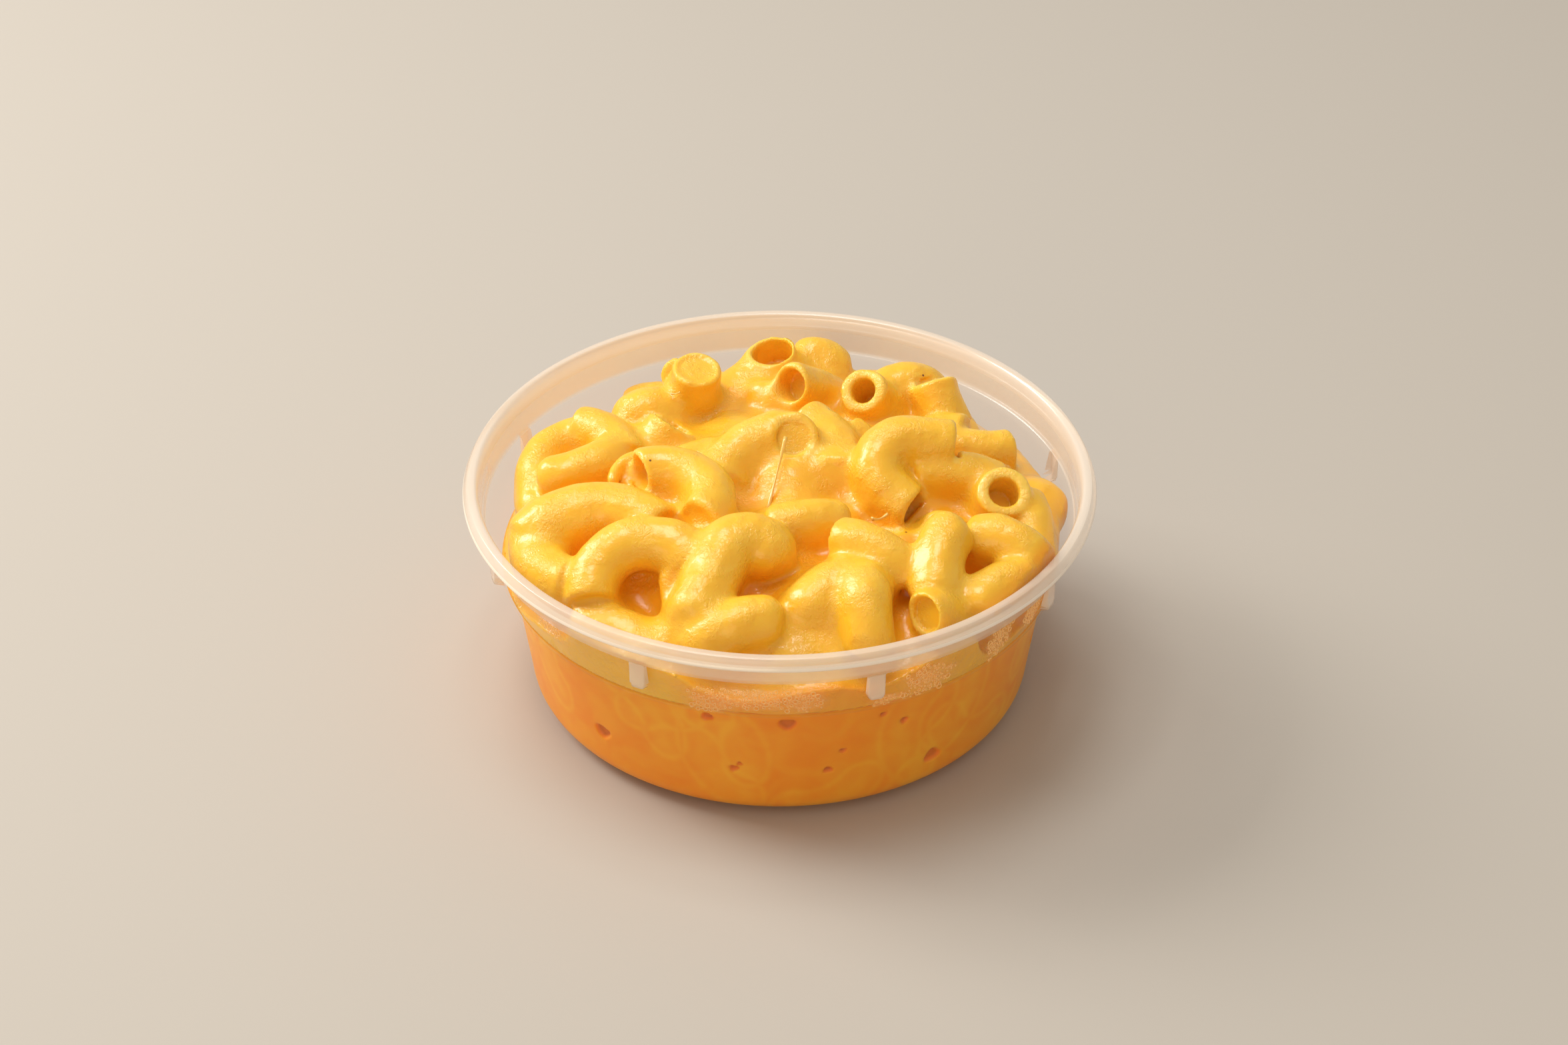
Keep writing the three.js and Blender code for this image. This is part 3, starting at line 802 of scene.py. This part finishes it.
def painted_crease_shade(points):
    """Painted shade: 0 on the tops of the heap and 1 deep between the macaroni."""
    half, blur = 60, 5          # of a map of the tops, with a cell a millimetre
    skin, deep = 0.3, 6.5       # depths that count as 0 and, beyond that, as 1
    tops = np.full((2 * half, 2 * half), 20.0)
    i, j = (points[:, :2] + half).astype(int).T
    np.maximum.at(tops, (i, j), points[:, 2])
    weights = np.exp(-(np.arange(-15, 16) / blur) ** 2 / 2)
    weights /= weights.sum()
    for axis in (0, 1):
        tops = np.apply_along_axis(np.convolve, axis, tops, weights, "same")
    return np.clip((tops[i, j] - points[:, 2] - skin) / deep, 0, 1) ** 1.2


def revolve(profile, angles, radius):
    """Points and quads of a closed [radius, z] loop turned about Z, its radius given by angle."""
    points = np.stack([radius * np.cos(angles)[:, None], radius * np.sin(angles)[:, None],
                       np.tile(profile[:, 1], (len(angles), 1))], 2)
    return points.reshape(-1, 3), grid_quads(*radius.shape, True, True)


def corner_arc(radius):
    """The rounded corner between foot and wall, as [radius, z] points from below."""
    return [(FOOT_OUTER_RADIUS + radius * math.cos(a), BASE_CORNER_RADIUS + radius * math.sin(a))
            for a in np.linspace(-math.pi / 2, -0.1, 8)]


def pressed_macaroni(across, z):
    """Where macaroni press against the wall: 1 along their outlines, and 1 inside them."""
    count, length, thickness = 34, 318, 8.4     # length of the wall round the container
    outline, inside = np.zeros_like(across), np.zeros_like(across)
    for n in range(count):
        x = across - length * ((n + rng.uniform(0, 1)) / count - 0.5)
        y = z - rng.uniform(4, 24)
        bend, lean, half = rng.uniform(8, 14), rng.uniform(0, math.tau), rng.uniform(0.5, 1)
        turn = (np.arctan2(y, x) - lean + math.pi) % math.tau - math.pi
        past = np.maximum(np.abs(turn) - half, 0) * bend
        away = np.hypot(np.hypot(x, y) - bend, past) - thickness / 2
        outline = np.maximum(outline, np.exp(-(away / 0.7) ** 2))
        inside = np.maximum(inside, np.clip(-away / 4, 0, 1))
    return outline, inside


def make_sauce_body(material):
    """The sauce and macaroni against the container's wall and floor."""
    floor, top = FLOOR_Z + WALL - INTO_WALL, SAUCE_LINE_Z + 0.4
    wall = [(inner_radius(z) + INTO_WALL, z)
            for z in np.linspace(BASE_CORNER_RADIUS + 1, SAUCE_LINE_Z, 56)]
    profile = np.array([(AXIS, floor), (FOOT_INNER_RADIUS - 2 * WALL, floor),
                        *corner_arc(BASE_CORNER_RADIUS - WALL + INTO_WALL), *wall,
                        (wall[-1][0] - 0.5, top), (AXIS, top)])
    angles = turns(900) - math.pi       # in steps of 0.4 degrees
    turn, z = np.meshgrid(angles + math.pi / 2, profile[:, 1], indexing="ij")
    turn = (turn + math.pi) % math.tau - math.pi
    outline, inside = pressed_macaroni(turn * BODY_TOP[0], z)
    tone_and_shading = 0.6 - 0.3 * inside - 0.3 * outline
    radius = np.tile(profile[:, 0], (len(angles), 1))
    depth = np.where(radius > FOOT_OUTER_RADIUS, 0.8, 0)
    for place, height, size in VOIDS:
        across, up = (turn - math.radians(place)) * BODY_TOP[0], (z - height) * 1.3
        lobes = np.cos(3 * np.arctan2(up, across) + place)
        off = np.hypot(across, up) * (1 + 0.12 * lobes) / size
        sunk = np.minimum(2.5 * np.clip(1.15 - off, 0, 1), 1)
        # a pit is painted darker, as painted shade, and where the wall is upright it is sunk too
        tone_and_shading = tone_and_shading + 1.6 * sunk
        radius = radius - depth * sunk
    piece = mesh_object("sauce_body", *revolve(profile, angles, radius))
    store_tone_and_painted_shading(piece, tone_and_shading.ravel())
    finish_food(piece, material)


def rounded(corners):
    """A profile through [radius, z, rounding] corners, with short steps. Open at both ends."""
    points = []
    for n, (r, z, rounding) in enumerate(corners):
        here = np.array([r, z], float)
        if n in (0, len(corners) - 1) or not rounding:
            points.append(here)
            continue
        before = np.array(corners[n - 1][:2]) - here
        after = np.array(corners[n + 1][:2]) - here
        first = here + before * min(0.5, rounding / np.linalg.norm(before))
        last = here + after * min(0.5, rounding / np.linalg.norm(after))
        for t in np.linspace(0, 1, 5):
            points.append((1 - t) ** 2 * first + 2 * t * (1 - t) * here + t ** 2 * last)
    stepped = [points[0]]
    for one, two in zip(points, points[1:]):
        span = FLOOR_SPAN if max(one[0], two[0]) < FOOT_INNER_RADIUS else SPAN
        steps = max(1, math.ceil(np.linalg.norm(two - one) / span))
        stepped += [one + (two - one) * (i + 1) / steps for i in range(steps)]
    return np.array(stepped)


def lug_angles():
    """Angles round the container, closer at the lugs, and each one's distance in millimetres
    from the middle of the nearest lug."""
    near = np.array([0, 0.4, 0.8, 1.15, 1.4, 1.55, 1.7, 1.85, 2, 2.3])
    near = np.concatenate([-near[:0:-1], near])
    pitch = math.tau * BAND_TOP[0] / LUG_COUNT
    far = np.linspace(near[-1], pitch - near[-1], 36)[1:-1]
    local = np.concatenate([near, far])
    off = np.where(local > pitch / 2, local - pitch, local)
    middles = math.radians(LUG_FIRST_ANGLE - 90) + turns(LUG_COUNT)
    return (middles[:, None] + local / BAND_TOP[0]).ravel(), np.tile(off, LUG_COUNT)


def lug_height(off, z):
    """How far out a lug stands at a place, as a share of its full height."""
    from_side = LUG_WIDTH / 2 - np.abs(off)
    from_end = z - LUG_BOTTOM_Z
    in_corner = (from_side < LUG_CORNER) & (from_end < LUG_CORNER)
    curved = LUG_CORNER - np.hypot(LUG_CORNER - from_side, LUG_CORNER - from_end)
    inset = np.where(in_corner, curved, np.minimum(from_side, from_end))
    t = np.clip(inset / LUG_SLOPE, 0, 1)
    return t * t * (3 - 2 * t)


def container_profile():
    """The outside with the rim's top, and the inside, as [radius, z] points."""
    rim_middle = (RIM_RADIUS + RIM_LIP_RADIUS) / 2
    outside = rounded([
        (AXIS, FLOOR_Z, 0), (FOOT_INNER_RADIUS - WALL, FLOOR_Z, 0.4), (FOOT_INNER_RADIUS, 0, 0.3),
        *[(r, z, 0) for r, z in corner_arc(BASE_CORNER_RADIUS)],
        (*BODY_TOP, 0.25), (*SHOULDER, 0.4), (SHOULDER[0] + 0.7, LUG_BOTTOM_Z - 0.3, 0),
        (*BAND_TOP, 0.25), (*NECK_FOOT, 0.3), (*NECK_TOP, 0.5),
        (RIM_RADIUS - 0.5, RIM_EDGE_Z - 0.25, 0.35), (RIM_RADIUS, RIM_EDGE_Z + 0.1, 0.25),
        (RIM_RADIUS - 0.35, RIM_EDGE_Z + 0.9, 0.5), (RIM_RADIUS - 0.9, HEIGHT - 0.25, 0.8),
        (rim_middle + 0.1, HEIGHT, 0.5), (RIM_LIP_RADIUS + 0.4, HEIGHT, 0.5),
        (RIM_LIP_RADIUS - 0.1, HEIGHT - 0.9, 0.5)])
    inside = rounded([
        (RIM_LIP_RADIUS - 0.1, HEIGHT - 0.9, 0),
        *[(r - WALL, z, 0.35) for r, z in (NECK_TOP, NECK_FOOT, BAND_TOP, SHOULDER, BODY_TOP)],
        *[(r, z, 0) for r, z in corner_arc(BASE_CORNER_RADIUS - WALL)[::-1]],
        (FOOT_INNER_RADIUS - 2 * WALL, FLOOR_Z + WALL, 0.4), (AXIS, FLOOR_Z + WALL, 0)])
    return outside, inside[1:]


def make_container(materials):
    """The container as one closed wall: outside, rim and inside, with its lugs."""
    outside, inside = container_profile()
    angles, off_lug = lug_angles()
    profile = np.concatenate([outside, inside])
    radius, z = (np.tile(column, (len(angles), 1)) for column in profile.T)
    on_outside = np.arange(len(profile)) < len(outside)
    on_band = on_outside & (z > LUG_BOTTOM_Z) & (z < NECK_FOOT[1])
    share = np.where(on_band, lug_height(off_lug[:, None], z), 0)
    radius = radius + share * np.maximum(LUG_OUTER_RADIUS - radius, 0)
    points, quads = revolve(profile, angles, radius)
    piece = mesh_object("translucent_container", points, quads)
    finish_plastic(piece, materials)
    x, y, height = points[quads].mean(1).T
    on_lug = share.ravel()[quads].mean(1) > 0.3
    # a thin, nearly opaque milky band along the rim's lower outer edge is a painted highlight
    on_painted_highlight = (np.abs(height - RIM_EDGE_Z - 0.2) < 0.45) & (np.hypot(x, y) > RIM_RADIUS - 0.7)
    zone = np.digitize(height, [SHOULDER[1] - 0.2, NECK_FOOT[1] - 0.2, NECK_TOP[1] - 0.3])
    slot = np.select([on_lug, on_painted_highlight], [4, 5], zone)
    piece.data.polygons.foreach_set("material_index", slot.astype(np.int32))


def joined(parts, quads):
    """Several parts' points in one array, and the quads that each has alike."""
    count = len(parts[0])
    return np.concatenate(parts), np.concatenate([n * count + quads for n in range(len(parts))])


def make_strings(material):
    """Strings of sauce between macaroni, each a thin closed tube that sags."""
    steps, sides = 16, 8
    around = turns(sides)[:, None]
    cap = np.array([(0, 1, 2, 3), (0, 3, 4, 7), (4, 5, 6, 7)])
    quads = np.concatenate([grid_quads(steps + 1, sides, closed_columns=True), cap,
                            steps * sides + cap[:, ::-1]])
    tubes = []
    for start, end, first, last, sag in STRINGS:
        t = np.linspace(0, 1, steps + 1)[:, None]
        line = np.array(start) * (1 - t) + np.array(end) * t
        line[:, 2] -= 4 * sag * (t * (1 - t))[:, 0]
        waist = 1 - 0.55 * np.sin(math.pi * t) ** 2
        radius = (first * (1 - t) + last * t) * waist
        along = np.array(end, float) - start
        side = np.cross(along, (0, 0, 1))
        side /= np.linalg.norm(side)
        over = np.cross(side, along / np.linalg.norm(along))
        ring = np.cos(around) * side + np.sin(around) * over
        tubes.append((line[:, None] + radius[:, None] * ring).reshape(-1, 3))
    finish_food(mesh_object("sauce_strings", *joined(tubes, quads)), material)


def make_films(material):
    """Films of sauce stretched between macaroni, each over three corners, sagging inwards.
    They stop just short of the third corner, where their quads would close up."""
    steps, last = 9, 0.96
    u, v = np.meshgrid(np.linspace(0, last, steps), np.linspace(0, 1, steps), indexing="ij")
    u, v = u.reshape(-1, 1), v.reshape(-1, 1)
    sheets = []
    for one, two, three, sag in FILMS:
        side = np.array(one) * (1 - v) + np.array(two) * v
        sheet = side * (1 - u) + np.array(three) * u
        sheet[:, 2] -= sag * (np.sin(math.pi * u) * np.sin(math.pi * v))[:, 0]
        sheets.append(sheet)
    films = mesh_object("sauce_films", *joined(sheets, grid_quads(steps, steps)))
    finish_food(films, material)


def dew_density(turn, z):
    """How dense the dew is at places on the band, 1 in the middle of a patch."""
    density = np.zeros_like(turn)
    for place, height, width, tall in DEW:
        away = np.hypot((turn - place) / width, (z - height) / tall)
        density = np.maximum(density, 1.3 * (1 - away ** 2))
    ripple = [noise.noise(Vector((a * 0.55, b * 0.7, 3)))
              for a, b in zip(turn.ravel(), z.ravel())]
    return np.where(density > 0, density + 0.5 * np.reshape(ripple, turn.shape), 0)


def place_on_band(turn, z, inset):
    """Places just inside the band's outer face, by degrees from the front."""
    radius, angle = inner_radius(z) + inset, np.radians(turn)
    return np.stack([radius * np.sin(angle), -radius * np.cos(angle), z], -1)


def make_haze(materials):
    """The haze of dew on the band: a sheet that is denser inside its patches."""
    turn, z = np.meshgrid(np.arange(*DEW_SPAN, 0.3), np.arange(27.3, 36.4, 0.3), indexing="ij")
    quads = grid_quads(*turn.shape)
    level = np.digitize(dew_density(turn, z).ravel()[quads].mean(1), HAZE_STEPS)
    used, shown = np.unique(quads[level > 0], return_inverse=True)
    points = place_on_band(turn, z, 0.3).reshape(-1, 3)[used]
    haze = mesh_object("dew_on_band", points, shown.reshape(-1, 4))
    finish_plastic(haze, materials)
    haze.data.polygons.foreach_set("material_index", (level[level > 0] - 1).astype(np.int32))


def make_drops(material):
    """The drops in the dew: a ring each, as only a drop's edge shows."""
    tries, steps, sides, gap = 7000, 10, 4, 0.3
    around, across = turns(steps)[:, None, None], turns(sides)[:, None]
    up = np.array((0, 0, 1))
    rings, places = [], []
    for _ in range(tries):
        turn, z = rng.uniform(*DEW_SPAN), rng.uniform(27.6, 36)
        size = 0.14 + 0.34 * rng.random() ** 2.2
        place = place_on_band(turn, z, 0.38)
        if dew_density(np.array([turn]), np.array([z]))[0] < rng.uniform(0.55, 1.1):
            continue
        if places and np.linalg.norm(places - place, axis=1).min() < size + gap:
            continue
        angle = math.radians(turn)
        out = np.array([math.sin(angle), -math.cos(angle), 0])
        ring = np.cos(around) * np.cross(up, out) + np.sin(around) * up
        thick = 0.06 + 0.12 * size
        shape = (size + thick * np.cos(across)) * ring + thick * np.sin(across) * out
        rings.append(place + shape.reshape(-1, 3))
        places.append(place)
    drops = mesh_object("drops_on_band", *joined(rings, grid_quads(steps, sides, True, True)))
    finish_plastic(drops, [material])


# ---- stage, lights and camera ----

def make_stage():
    bpy.ops.mesh.primitive_plane_add(size=2.5)
    floor = bpy.context.object
    floor.name = "floor"
    shader = Shader("pale_floor")
    shader.set(Base_Color=(0.5, 0.455, 0.4, 1), Roughness=0.75)
    floor.data.materials.append(shader.material)


def aimed(name, data, place, target):
    """A light or camera at a place, in metres, pointed at a target."""
    made = new_object(name, data)
    made.location = place
    made.rotation_euler = (Vector(target) - Vector(place)).to_track_quat("-Z", "Y").to_euler()
    return made


def area_light(name, place, target, size, power, colour=(1, 1, 1)):
    data = bpy.data.lights.new(name, "AREA")
    data.shape = "RECTANGLE"
    data.size, data.size_y = size
    data.energy, data.color = power, colour
    aimed(name, data, place, target)


def make_lights():
    area_light("key", (-0.72, 0.32, 0.62), (0, 0, 0.03), (0.4, 0.5), 7, (1, 0.98, 0.94))
    area_light("fill", (-0.3, -0.9, 0.3), (0, 0, 0.02), (0.6, 0.4), 1.4, (1, 0.78, 0.5))
    area_light("top", (-0.15, 0.05, 1), (0, 0, 0.03), (0.5, 0.4), 4)
    world = bpy.data.worlds.new("studio")
    world.use_nodes = True
    background = world.node_tree.nodes["Background"]
    background.inputs["Color"].default_value = (1, 0.94, 0.84, 1)
    background.inputs["Strength"].default_value = 0.48
    bpy.context.scene.world = world


def make_camera():
    data = bpy.data.cameras.new("camera")
    data.sensor_width, data.lens = 36, 80.81
    data.shift_x, data.shift_y = 0.0028, -0.0259
    data.clip_start = 0.05
    elevation, distance = math.radians(34.05), 0.65
    target = Vector((0, 0, 0.0417))
    away = Vector((0, -math.cos(elevation), math.sin(elevation)))
    bpy.context.scene.camera = aimed("camera", data, target + away * distance, target)


make_camera()
make_stage()
make_lights()
make_heap(cheese_material())
make_sauce_body(sauce_body_material())
make_container(container_materials())
make_haze([dew_painted_glow_material(f"dew_haze_painted_glow_{n}", 0.07 * (n + 1)) for n in range(len(HAZE_STEPS))])
make_drops(dew_painted_glow_material("dew_drops_painted_glow", 0.45))
make_strings(sauce_thread_material("sauce_string", 0.9))
make_films(sauce_thread_material("sauce_film", 0.45))
bpy.context.scene.view_settings.view_transform = "Standard"
